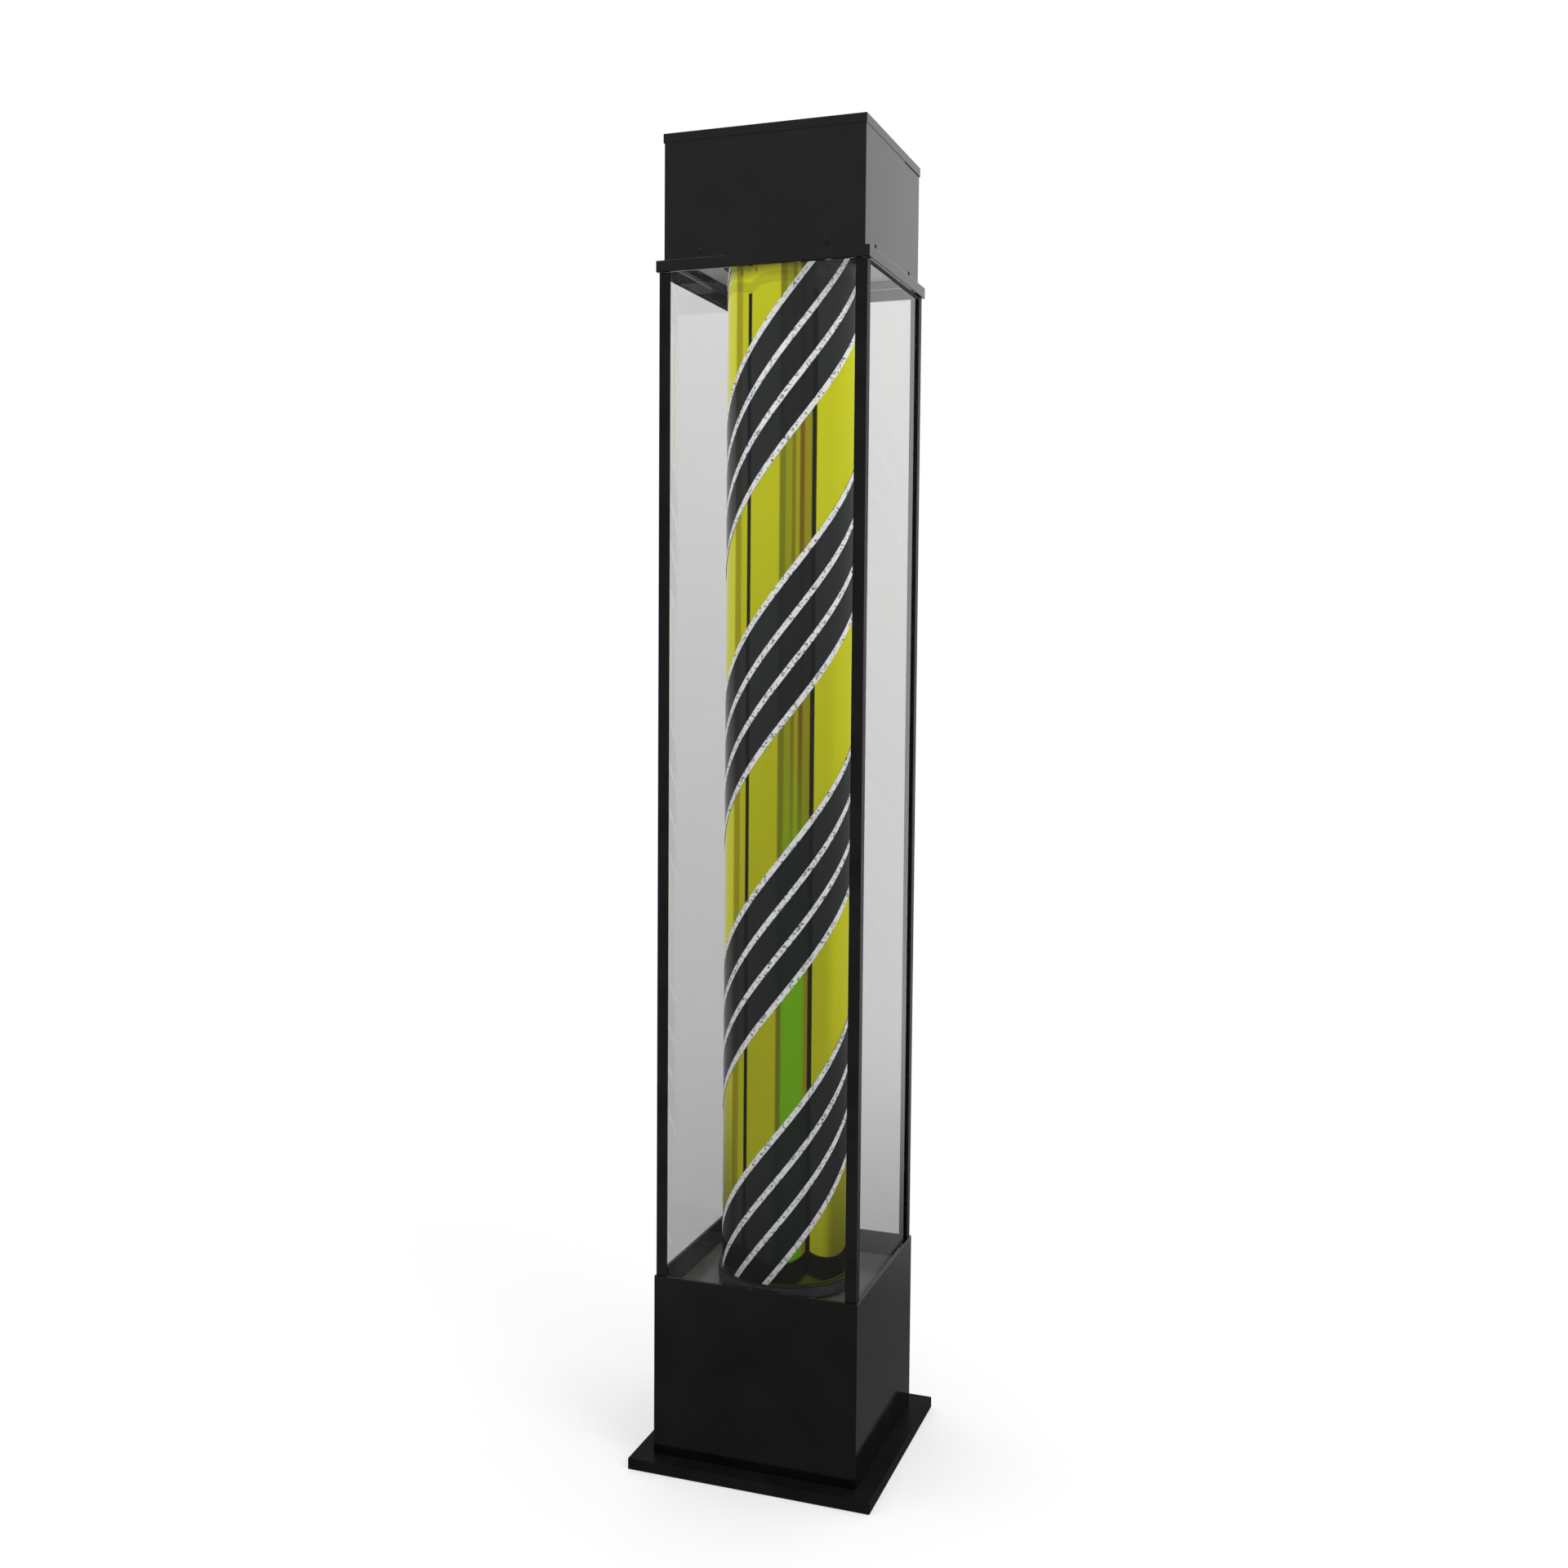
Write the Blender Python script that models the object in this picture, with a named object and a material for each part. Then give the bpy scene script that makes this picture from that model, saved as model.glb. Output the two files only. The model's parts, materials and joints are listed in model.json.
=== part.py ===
"""Floor-standing barber pole light: square base and head, four clear panels, one turning drum."""
import math

import bmesh
import bpy
from mathutils import Matrix, Vector

# ---- driving dimensions, in metres -------------------------------------------------------
GAP = 0.0003                 # air between two pieces that touch

PLATE_MARGIN = 0.0225        # base plate beyond the housing, each side
PLATE_THICK = 0.013
BASE_HEIGHT = 0.208          # base housing
BASE_WALL = 0.004
DECK_DROP = 0.027            # deck top below the housing's rim
DECK_THICK = 0.003
DECK_HOLE_RADIUS = 0.060     # clears the drum's boss

POST_INSET = 0.0018          # post faces behind the housing's faces
POST_LEG = 0.013
POST_WALL = 0.002
GLASS_THICK = 0.003
CASE_CLEARANCE = 0.0364      # air between the film and the panels
CLEAR_HEIGHT = 1.1256        # rim of the base housing to the underside of the collar

COLLAR_PROUD = 0.0012        # collar faces beyond the housing's faces
COLLAR_HEIGHT = 0.0125
COLLAR_WEB = 0.002
HEAD_HEIGHT = 0.1355
HEAD_INSET = 0.0058          # head faces behind the housing's faces
HEAD_WALL = 0.002
CEILING_RISE = 0.0225        # ceiling plate above the underside of the collar
CEILING_THICK = 0.002
LID_WALL = 0.0007
LID_SKIRT = 0.0088
LID_THICK = 0.0012

DRUM_RADIUS = 0.0750         # clear tube, outside
DRUM_WALL = 0.003
FILM_THICK = 0.001
BAND_THICK = 0.0004
DRUM_FOOT = 0.0168           # lower end of the tube above the deck
DRUM_OVERRUN = 0.0135        # upper end of the tube above the ceiling plate
DRUM_SIDES = 48
HOLE_MARGIN = 0.0072         # ceiling hole beyond the film

HELIX_LEAD = 0.6214          # rise in one turn
HELIX_STARTS = 2
HELIX_PHASE = 0.0536         # lower edge of the first band at angle 0
BAND_RISE = 0.1678           # height of one band

HUB_SKIRT = 0.004
HUB_TOP = 0.004
HUB_OVERHANG = 0.0047        # hub rim beyond the film
FOOT_RING_THICK = 0.0015     # black ring round the drum's foot
FOOT_RING_SLACK = 0.0006
HUB_FLANGE = 0.0117
HUB_BOSS_RADIUS = 0.014
HUB_BOSS_END = 0.0282        # boss end below the deck top
SHAFT_RADIUS = 0.004
SHAFT_GRIP = 0.029           # shaft length inside the hub
SHAFT_CLEARANCE = 0.003      # bracket hole beyond the shaft
BEARING_RADIUS = 0.022
BEARING_HEIGHT = 0.0102
BRACKET_DROP = 0.0324        # motor bracket's seat below the deck top
BRACKET_WIDTH = 0.040
BRACKET_MARGIN = 0.0215      # bracket ends beyond the ceiling hole
BRACKET_THICK = 0.003
GEARBOX_RADIUS = 0.032
GEARBOX_HEIGHT = 0.023
MOTOR_RADIUS = 0.029
MOTOR_HEIGHT = 0.050

UPPER_HUB_HEIGHT = 0.008
UPPER_HUB_SETBACK = 0.004    # upper hub below the end of the tube
BUSH_WALL = 0.0034
BUSH_HEIGHT = 0.011
LAMP_RADIUS = 0.0135
LAMP_START = 0.005           # lamp core above the lower hub
LED_WIDTH = 0.008
LED_THICK = 0.0015
LED_MARGIN = 0.014
LAMP_BRACKET_RISE = 0.010    # lamp bracket above the drum
LAMP_NUT_RADIUS = 0.020
LAMP_NUT_HEIGHT = 0.007

DRIVER_SIZE = (0.110, 0.040, 0.027)
DRIVER_PLACE = (-0.045, -0.080)
BLOCK_SIZE = (0.032, 0.016, 0.014)
BLOCK_PLACE = (-0.060, 0.080)

SCREW_SPREAD = 0.072         # head screws either side of the middle
SCREW_RISE = 0.020           # head screws above the underside of the collar
SCREW_HEAD = 0.003
SCREW_DOME = 0.0016
SCREW_SHANK = 0.0015
SCREW_LENGTH = 0.008

PANEL_RISE = 0.060           # switch and inlet above the floor
SWITCH_X = -0.045
SWITCH_FACE = (0.021, 0.030)
SWITCH_BODY = (0.018, 0.026)
SWITCH_FRAME = 0.002
SWITCH_DEPTH = 0.018
SWITCH_SLACK = 0.0006
ROCKER_TILT = math.radians(8)
ROCKER_DEPTH = 0.007
INLET_X = 0.040
INLET_FACE = (0.034, 0.027)
INLET_BODY = (0.027, 0.020)
INLET_WALL = 0.002
INLET_DEPTH = 0.022
PIN_SIZE = (0.002, 0.014, 0.004)
PIN_SPREAD = 0.007

# ---- levels and half widths worked out from them --------------------------------------------
BASE_FOOT = PLATE_THICK + GAP
RIM = BASE_FOOT + BASE_HEIGHT
DECK = RIM - DECK_DROP
COLLAR_FOOT = RIM + CLEAR_HEIGHT
COLLAR_TOP = COLLAR_FOOT + COLLAR_HEIGHT
CEILING = COLLAR_FOOT + CEILING_RISE
HEAD_FOOT = COLLAR_TOP + GAP
HEAD_TOP = HEAD_FOOT + HEAD_HEIGHT
LID_TOP = HEAD_TOP + GAP + LID_THICK

FILM_RADIUS = DRUM_RADIUS + GAP + FILM_THICK
BAND_INNER = FILM_RADIUS + GAP
TUBE_INNER = DRUM_RADIUS - DRUM_WALL
CEILING_HOLE_RADIUS = FILM_RADIUS + HOLE_MARGIN
BRACKET_HALF = CEILING_HOLE_RADIUS + BRACKET_MARGIN

GLASS_BACK = FILM_RADIUS + CASE_CLEARANCE
GLASS_FACE = GLASS_BACK + GLASS_THICK
BASE_INNER = GLASS_FACE + GAP
BASE_HALF = BASE_INNER + BASE_WALL
PLATE_HALF = BASE_HALF + PLATE_MARGIN
POST_HALF = BASE_HALF - POST_INSET
COLLAR_HALF = BASE_HALF + COLLAR_PROUD
HEAD_HALF = BASE_HALF - HEAD_INSET
HEAD_INNER = HEAD_HALF - HEAD_WALL
BACK = BASE_HALF             # y of the housing's back face

DRUM_FOOT_Z = DECK + DRUM_FOOT
DRUM_TOP_Z = CEILING + CEILING_THICK + DRUM_OVERRUN
HUB_TOP_Z = DRUM_FOOT_Z - GAP
BOSS_END_Z = DECK - HUB_BOSS_END
SEAT_Z = DECK - BRACKET_DROP
LAMP_FOOT_Z = HUB_TOP_Z + LAMP_START
LAMP_SEAT_Z = DRUM_TOP_Z + LAMP_BRACKET_RISE
UPPER_HUB_Z = DRUM_TOP_Z - UPPER_HUB_SETBACK - UPPER_HUB_HEIGHT
BUSH_RADIUS = LAMP_RADIUS + GAP + BUSH_WALL


def clear_scene():
    for item in list(bpy.data.objects):
        bpy.data.objects.remove(item, do_unlink=True)


def make_material(name, colour, roughness, metallic=0.0, alpha=1.0):
    material = bpy.data.materials.new(name)
    material.use_nodes = True
    shader = material.node_tree.nodes["Principled BSDF"]
    shader.inputs["Base Color"].default_value = (*colour, 1.0)
    shader.inputs["Roughness"].default_value = roughness
    shader.inputs["Metallic"].default_value = metallic
    shader.inputs["Alpha"].default_value = alpha
    return material


def add_object(name, shape, material=None, parent=None):
    """Put a finished bmesh into a named object, faces outwards. Only cutters have no material."""
    bmesh.ops.recalc_face_normals(shape, faces=shape.faces)
    mesh = bpy.data.meshes.new(name)
    shape.to_mesh(mesh)
    shape.free()
    if material:
        mesh.materials.append(material)
    item = bpy.data.objects.new(name, mesh)
    bpy.context.collection.objects.link(item)
    item.parent = parent
    return item


def add_box(name, low, high, material, parent=None):
    shape = bmesh.new()
    bmesh.ops.create_cube(shape, size=1.0)
    low, high = Vector(low), Vector(high)
    bmesh.ops.scale(shape, vec=high - low, verts=shape.verts)
    item = add_object(name, shape, material, parent)
    item.location = (low + high) / 2
    return item


def add_prism(name, outline, start, end, material, along="Z", parent=None):
    """A flat outline pushed along one axis; the outline is in the other two."""
    place = {
        "Z": lambda a, b, t: (a, b, t),
        "Y": lambda a, b, t: (a, t, b),
        "X": lambda a, b, t: (t, a, b),
    }[along]
    shape = bmesh.new()
    face = shape.faces.new([shape.verts.new(place(a, b, start)) for a, b in outline])
    grown = bmesh.ops.extrude_face_region(shape, geom=[face])
    tops = [part for part in grown["geom"] if isinstance(part, bmesh.types.BMVert)]
    shift = Vector(place(0, 0, end)) - Vector(place(0, 0, start))
    bmesh.ops.translate(shape, vec=shift, verts=tops)
    return add_object(name, shape, material, parent)


def add_loops(name, loops, material, closed=True, along="Z", centre=(0, 0)):
    """Rectangular loops joined in order, each (half width, half height, level on the axis).

    closed joins the last loop to the first, as in a square tube; otherwise both ends are capped."""
    shape = bmesh.new()
    corners = ((-1, -1), (1, -1), (1, 1), (-1, 1))
    rings = []
    for wide, tall, level in loops:
        points = [(centre[0] + a * wide, centre[1] + b * tall) for a, b in corners]
        if along == "Z":
            rings.append([shape.verts.new((a, b, level)) for a, b in points])
        else:
            rings.append([shape.verts.new((a, level, b)) for a, b in points])
    after = rings[1:] + rings[:1] if closed else rings[1:]
    for ring, next_ring in zip(rings, after):
        for i in range(4):
            j = (i + 1) % 4
            shape.faces.new((ring[i], ring[j], next_ring[j], next_ring[i]))
    if not closed:
        shape.faces.new(rings[0])
        shape.faces.new(rings[-1])
    return add_object(name, shape, material)


def square_tube(outer, inner, low, high):
    return [(outer, outer, low), (outer, outer, high), (inner, inner, high), (inner, inner, low)]


def add_turned(name, profile, material, sides=24, parent=None):
    """Turn a closed (radius, z) profile round Z; a point on the axis is a pole."""
    shape = bmesh.new()
    rings = []
    for radius, z in profile:
        if radius == 0:
            rings.append([shape.verts.new((0, 0, z))] * sides)
            continue
        angles = [2 * math.pi * i / sides for i in range(sides)]
        rings.append([shape.verts.new((radius * math.cos(a), radius * math.sin(a), z)) for a in angles])
    for ring, after in zip(rings, rings[1:] + rings[:1]):
        for i in range(sides):
            j = (i + 1) % sides
            corners = []
            for vert in (ring[i], ring[j], after[j], after[i]):
                if vert not in corners:
                    corners.append(vert)
            if len(corners) > 2:
                shape.faces.new(corners)
    item = add_object(name, shape, material, parent)
    item.data.shade_smooth()
    item.data.set_sharp_from_angle(angle=math.radians(35))
    return item


def ring_profile(inner, outer, low, high):
    return [(outer, high), (outer, low), (inner, low), (inner, high)]


def disc_profile(outer, low, high):
    return [(0, high), (outer, high), (outer, low), (0, low)]


def cut_away(item, cutter):
    """Cut one closed shape out of another and keep the cutter as a guide."""
    cutter.hide_render = True
    cutter.display_type = "WIRE"
    cut = item.modifiers.new("cut_" + cutter.name, "BOOLEAN")
    cut.operation = "DIFFERENCE"
    cut.solver = "EXACT"
    cut.object = cutter


def round_cutter(name, radius, low, high, sides=24):
    shape = bmesh.new()
    middle = Matrix.Translation((0, 0, (low + high) / 2))
    bmesh.ops.create_cone(shape, cap_ends=True, segments=sides, radius1=radius, radius2=radius,
                          depth=high - low, matrix=middle)
    return add_object(name, shape)


def box_cutter(name, low, high):
    shape = bmesh.new()
    bmesh.ops.create_cube(shape, size=1.0)
    low, high = Vector(low), Vector(high)
    bmesh.ops.scale(shape, vec=high - low, verts=shape.verts)
    bmesh.ops.translate(shape, vec=(low + high) / 2, verts=shape.verts)
    return add_object(name, shape)


def side_places():
    """The four faces as (name, turn about Z) with the front at no turn."""
    return [("front", 0.0), ("right", math.pi / 2), ("back", math.pi), ("left", 1.5 * math.pi)]


# ---- materials ------------------------------------------------------------------------------
def make_materials():
    return {
        "black": make_material("gloss_black_steel", (0.010, 0.010, 0.010), 0.22),
        "satin": make_material("satin_black_steel", (0.008, 0.008, 0.008), 0.35),
        "deck": make_material("grey_deck_steel", (0.070, 0.070, 0.070), 0.45),
        "ceiling": make_material("pale_ceiling_steel", (0.45, 0.45, 0.45), 0.45),
        "clear": make_material("clear_acrylic", (0.95, 0.97, 0.96), 0.03, 0.0, 0.15),
        "film": make_material("yellow_green_film", (0.45, 0.48, 0.025), 0.16, 0.85),
        "band": make_material("dark_glitter_band", (0.030, 0.036, 0.034), 0.25, 0.2),
        "hub": make_material("grey_moulded_hub", (0.10, 0.10, 0.10), 0.5),
        "zinc": make_material("zinc_plated_steel", (0.55, 0.56, 0.57), 0.35, 1.0),
        "motor": make_material("motor_can_steel", (0.32, 0.32, 0.33), 0.4, 1.0),
        "core": make_material("aluminium_lamp_core", (0.70, 0.70, 0.71), 0.3, 1.0),
        "led": make_material("led_strip", (0.85, 0.84, 0.74), 0.4),
        "white": make_material("white_driver_case", (0.75, 0.75, 0.73), 0.5),
        "plastic": make_material("black_moulded_plastic", (0.015, 0.015, 0.015), 0.45),
        "brass": make_material("plated_brass_pin", (0.72, 0.66, 0.45), 0.25, 1.0),
    }


# ---- base -------------------------------------------------------------------------------------
def make_base(paint):
    half = PLATE_HALF
    add_box("base_plate", (-half, -half, 0), (half, half, PLATE_THICK), paint["satin"])
    housing = add_loops("base_housing", square_tube(BASE_HALF, BASE_INNER, BASE_FOOT, RIM), paint["black"])
    for name, x, body in (("switch_cut", SWITCH_X, SWITCH_BODY), ("inlet_cut", INLET_X, INLET_BODY)):
        wide, tall = body[0] / 2 + GAP, body[1] / 2 + GAP
        low = (x - wide, BACK - 2 * BASE_WALL, PANEL_RISE - tall)
        high = (x + wide, BACK + BASE_WALL, PANEL_RISE + tall)
        cut_away(housing, box_cutter(name, low, high))
    deck_half = GLASS_FACE
    low, high = (-deck_half, -deck_half, DECK - DECK_THICK), (deck_half, deck_half, DECK)
    deck = add_box("deck_plate", low, high, paint["deck"])
    cut_away(deck, round_cutter("deck_cut", DECK_HOLE_RADIUS, DECK - 3 * DECK_THICK, DECK + DECK_THICK,
                                DRUM_SIDES))


# ---- posts, panels, collar and head ------------------------------------------------------------
def make_cage(paint):
    low, high = RIM + GAP, COLLAR_FOOT - GAP
    out, leg, wall = POST_HALF, POST_HALF - POST_LEG, POST_HALF - POST_WALL
    outline = [(out, out), (leg, out), (leg, wall), (wall, wall), (wall, leg), (out, leg)]
    names = ("post_back_right", "post_back_left", "post_front_left", "post_front_right")
    for i, name in enumerate(names):
        turn = Matrix.Rotation(i * math.pi / 2, 2)
        corners = [tuple(turn @ Vector(point)) for point in outline]
        add_prism(name, corners, low, high, paint["satin"])
    foot, top = DECK + GAP, COLLAR_TOP - COLLAR_WEB - GAP
    for name, turn in side_places():
        long_side = name in ("front", "back")
        reach = GLASS_FACE if long_side else GLASS_BACK - GAP
        panel = add_box("panel_" + name, (-reach, -GLASS_FACE, foot), (reach, -GLASS_BACK, top),
                        paint["clear"])
        panel.location = Matrix.Rotation(turn, 3, "Z") @ panel.location
        panel.rotation_euler.z = turn


def make_head(paint):
    web = COLLAR_TOP - COLLAR_WEB
    loops = [(COLLAR_HALF, COLLAR_HALF, COLLAR_FOOT), (COLLAR_HALF, COLLAR_HALF, COLLAR_TOP),
             (HEAD_INNER, HEAD_INNER, COLLAR_TOP), (HEAD_INNER, HEAD_INNER, web),
             (BASE_INNER, BASE_INNER, web), (BASE_INNER, BASE_INNER, COLLAR_FOOT)]
    add_loops("collar", loops, paint["black"])
    loops = square_tube(HEAD_HALF, HEAD_INNER, HEAD_FOOT, HEAD_TOP)
    housing = add_loops("top_housing", loops, paint["black"])
    cut_away(housing, screw_cutter())
    half = HEAD_INNER - GAP
    low, high = (-half, -half, CEILING), (half, half, CEILING + CEILING_THICK)
    ceiling = add_box("ceiling_plate", low, high, paint["ceiling"])
    cut_away(ceiling, round_cutter("ceiling_cut", CEILING_HOLE_RADIUS, CEILING - CEILING_THICK,
                                   CEILING + 2 * CEILING_THICK, DRUM_SIDES))
    # The lid is a pressed pan: a square plate with a skirt over the head's upper edge.
    inner = HEAD_HALF + GAP
    outer = inner + LID_WALL
    under = LID_TOP - LID_THICK
    loops = [(inner, inner, under), (inner, inner, under - LID_SKIRT), (outer, outer, under - LID_SKIRT),
             (outer, outer, LID_TOP)]
    add_loops("top_lid", loops, paint["black"], closed=False)


def screw_places():
    """Two screws on each face of the head, as a name and a matrix with -Y outwards."""
    level = COLLAR_FOOT + SCREW_RISE
    for name, turn in side_places():
        for i, side in enumerate((-1, 1)):
            middle = Vector((side * SCREW_SPREAD, -HEAD_HALF, level))
            yield f"head_screw_{name}_{i + 1}", Matrix.Rotation(turn, 4, "Z") @ Matrix.Translation(middle)


def screw_cutter():
    shape = bmesh.new()
    lie = Matrix.Rotation(math.pi / 2, 4, "X")
    for _, place in screw_places():
        bmesh.ops.create_cone(shape, cap_ends=True, segments=12, radius1=SCREW_SHANK + GAP,
                              radius2=SCREW_SHANK + GAP, depth=4 * HEAD_WALL, matrix=place @ lie)
    return add_object("screw_cut", shape)


def make_screws(material):
    """Pan-head screws: a low dome outside, a shank through the wall."""
    tip = -SCREW_LENGTH
    profile = [(0, SCREW_DOME), (SCREW_HEAD * 0.62, SCREW_DOME * 0.86), (SCREW_HEAD, GAP + 0.0003),
               (SCREW_HEAD, GAP), (SCREW_SHANK, GAP), (SCREW_SHANK, tip), (0, tip)]
    for name, place in screw_places():
        screw = add_turned(name, profile, material, 12)
        screw.matrix_world = place @ Matrix.Rotation(math.pi / 2, 4, "X")


# ---- drum -------------------------------------------------------------------------------------
def make_drum(paint):
    axis = bpy.data.objects.new("drum_axis", None)
    bpy.context.collection.objects.link(axis)
    low, high = DRUM_FOOT_Z, DRUM_TOP_Z
    add_turned("drum_tube", ring_profile(TUBE_INNER, DRUM_RADIUS, low, high), paint["clear"],
               DRUM_SIDES, axis)
    add_turned("film_wrap", ring_profile(DRUM_RADIUS + GAP, FILM_RADIUS, low, high), paint["film"],
               DRUM_SIDES, axis)
    for start in range(HELIX_STARTS):
        make_band(f"helix_band_{start + 1}", start, paint["band"], axis)
    under = HUB_TOP_Z - HUB_TOP
    foot = HUB_TOP_Z - HUB_FLANGE
    bore = SHAFT_RADIUS + GAP
    rim = FILM_RADIUS + HUB_OVERHANG
    profile = [(0, HUB_TOP_Z), (rim, HUB_TOP_Z), (rim, foot), (rim - HUB_SKIRT, foot),
               (rim - HUB_SKIRT, under), (HUB_BOSS_RADIUS, under), (HUB_BOSS_RADIUS, BOSS_END_Z),
               (bore, BOSS_END_Z), (bore, BOSS_END_Z + SHAFT_GRIP), (0, BOSS_END_Z + SHAFT_GRIP)]
    add_turned("drum_lower_hub", profile, paint["hub"], DRUM_SIDES, axis)
    inner = BAND_INNER + BAND_THICK + FOOT_RING_SLACK
    low = HUB_TOP_Z + GAP
    add_turned("foot_ring", ring_profile(inner, rim, low, low + FOOT_RING_THICK), paint["plastic"],
               DRUM_SIDES, axis)
    top = BOSS_END_Z + SHAFT_GRIP - GAP
    profile = disc_profile(SHAFT_RADIUS, SEAT_Z - BRACKET_THICK, top)
    add_turned("output_shaft", profile, paint["zinc"], 16, axis)
    profile = ring_profile(BUSH_RADIUS + GAP, TUBE_INNER - GAP, UPPER_HUB_Z, UPPER_HUB_Z + UPPER_HUB_HEIGHT)
    add_turned("drum_upper_hub", profile, paint["hub"], DRUM_SIDES, axis)


def make_band(name, start, material, parent):
    """One band wound round the film: a column at each corner of the drum's sides."""
    rise = HELIX_LEAD / DRUM_SIDES
    offset = HELIX_PHASE + start * HELIX_LEAD / HELIX_STARTS
    first = math.ceil((DRUM_FOOT_Z - offset - BAND_RISE) / rise)
    last = math.floor((DRUM_TOP_Z - offset) / rise)
    shape = bmesh.new()
    columns = []
    for i in range(first, last + 1):
        low = max(offset + i * rise, DRUM_FOOT_Z)
        high = min(offset + i * rise + BAND_RISE, DRUM_TOP_Z)
        if high - low < rise / 4:
            continue
        angle = 2 * math.pi * i / DRUM_SIDES
        inner, outer = BAND_INNER, BAND_INNER + BAND_THICK
        spots = ((inner, low), (outer, low), (outer, high), (inner, high))
        columns.append([shape.verts.new((r * math.cos(angle), r * math.sin(angle), z)) for r, z in spots])
    for column, after in zip(columns, columns[1:]):
        for i in range(4):
            j = (i + 1) % 4
            shape.faces.new((column[i], column[j], after[j], after[i]))
    shape.faces.new(columns[0])
    shape.faces.new(columns[-1])
    item = add_object(name, shape, material, parent)
    item.data.shade_smooth()
    item.data.set_sharp_from_angle(angle=math.radians(35))


# ---- drive, lamp and mains parts ------------------------------------------------------------------
def add_bridge(name, seat, foot, material):
    """A bent strip with two legs: its flat is at seat, its legs end at foot."""
    half, wall = BRACKET_HALF, BRACKET_THICK
    near, far = (seat - wall, seat) if foot > seat else (seat + wall, seat)
    outline = [(-half, near), (half, near), (half, foot), (half - wall, foot), (half - wall, far),
               (wall - half, far), (wall - half, foot), (-half, foot)]
    return add_prism(name, outline, -BRACKET_WIDTH / 2, BRACKET_WIDTH / 2, material, "Y")


def make_drive(paint):
    bracket = add_bridge("motor_bracket", SEAT_Z, DECK - DECK_THICK - GAP, paint["zinc"])
    hole = round_cutter("bracket_cut", SHAFT_RADIUS + SHAFT_CLEARANCE, SEAT_Z - 3 * BRACKET_THICK,
                        SEAT_Z + BRACKET_THICK)
    cut_away(bracket, hole)
    low = SEAT_Z + GAP
    profile = ring_profile(HUB_BOSS_RADIUS + GAP, BEARING_RADIUS, low, low + BEARING_HEIGHT)
    add_turned("thrust_bearing", profile, paint["zinc"], 32)
    top = SEAT_Z - BRACKET_THICK - GAP
    foot = top - GEARBOX_HEIGHT
    add_turned("gearbox", disc_profile(GEARBOX_RADIUS, foot, top), paint["motor"], 32)
    add_turned("drive_motor", disc_profile(MOTOR_RADIUS, foot - GAP - MOTOR_HEIGHT, foot - GAP),
               paint["motor"], 32)


def make_lamp(paint):
    ceiling_top = CEILING + CEILING_THICK + GAP
    bracket_under = LAMP_SEAT_Z
    add_bridge("lamp_bracket", bracket_under, ceiling_top, paint["zinc"])
    add_turned("lamp_core", disc_profile(LAMP_RADIUS, LAMP_FOOT_Z, bracket_under - GAP), paint["core"], 24)
    low = bracket_under + BRACKET_THICK + GAP
    add_turned("lamp_nut", disc_profile(LAMP_NUT_RADIUS, low, low + LAMP_NUT_HEIGHT), paint["zinc"], 24)
    middle = UPPER_HUB_Z + UPPER_HUB_HEIGHT / 2
    profile = ring_profile(LAMP_RADIUS + GAP, BUSH_RADIUS, middle - BUSH_HEIGHT / 2, middle + BUSH_HEIGHT / 2)
    add_turned("lamp_bush", profile, paint["plastic"], 24)
    low, high = LAMP_FOOT_Z + LED_MARGIN, UPPER_HUB_Z - LED_MARGIN
    for i in range(4):
        strip = add_box(f"led_strip_{i + 1}", (LAMP_RADIUS + GAP, -LED_WIDTH / 2, low),
                        (LAMP_RADIUS + GAP + LED_THICK, LED_WIDTH / 2, high), paint["led"])
        strip.location = Matrix.Rotation(i * math.pi / 2, 3, "Z") @ strip.location
        strip.rotation_euler.z = i * math.pi / 2


def make_supply(paint):
    places = (("led_driver", DRIVER_SIZE, DRIVER_PLACE, "white"),
              ("terminal_block", BLOCK_SIZE, BLOCK_PLACE, "white"))
    for name, size, place, slot in places:
        low = (place[0] - size[0] / 2, place[1] - size[1] / 2, BASE_FOOT)
        high = (place[0] + size[0] / 2, place[1] + size[1] / 2, BASE_FOOT + size[2])
        add_box(name, low, high, paint[slot])


def add_cup(name, x, face, body, wall, depth, material):
    """A flanged tray let into the back wall; its mouth opens at the back."""
    wide, tall = body[0] / 2, body[1] / 2
    flange, deep = BACK + GAP, BACK - depth
    mouth = flange + wall
    loops = [(wide - wall, tall - wall, deep + wall), (wide - wall, tall - wall, mouth),
             (face[0] / 2, face[1] / 2, mouth), (face[0] / 2, face[1] / 2, flange),
             (wide, tall, flange), (wide, tall, deep)]
    return add_loops(name, loops, material, closed=False, along="Y", centre=(x, PANEL_RISE))


def make_switch(paint):
    add_cup("switch_bezel", SWITCH_X, SWITCH_FACE, SWITCH_BODY, SWITCH_FRAME, SWITCH_DEPTH,
            paint["plastic"])
    pivot = bpy.data.objects.new("rocker_axis", None)
    bpy.context.collection.objects.link(pivot)
    pivot.location = (SWITCH_X, BACK - ROCKER_DEPTH / 2, PANEL_RISE)
    pivot.rotation_euler.x = ROCKER_TILT
    wide = SWITCH_BODY[0] / 2 - SWITCH_FRAME - SWITCH_SLACK
    tall = SWITCH_BODY[1] / 2 - SWITCH_FRAME - SWITCH_SLACK
    front = ROCKER_DEPTH / 2 + SWITCH_FRAME
    lean = tall * math.tan(ROCKER_TILT)
    back = -ROCKER_DEPTH / 2
    inset = tall - ROCKER_DEPTH * math.tan(ROCKER_TILT)
    outline = [(back, -inset), (front - lean / 2, -tall + lean), (front - lean, 0),
               (front - lean / 2, tall - lean), (back, inset)]
    rocker = add_prism("switch_rocker", outline, -wide, wide, paint["plastic"], "X")
    rocker.parent = pivot


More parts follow.
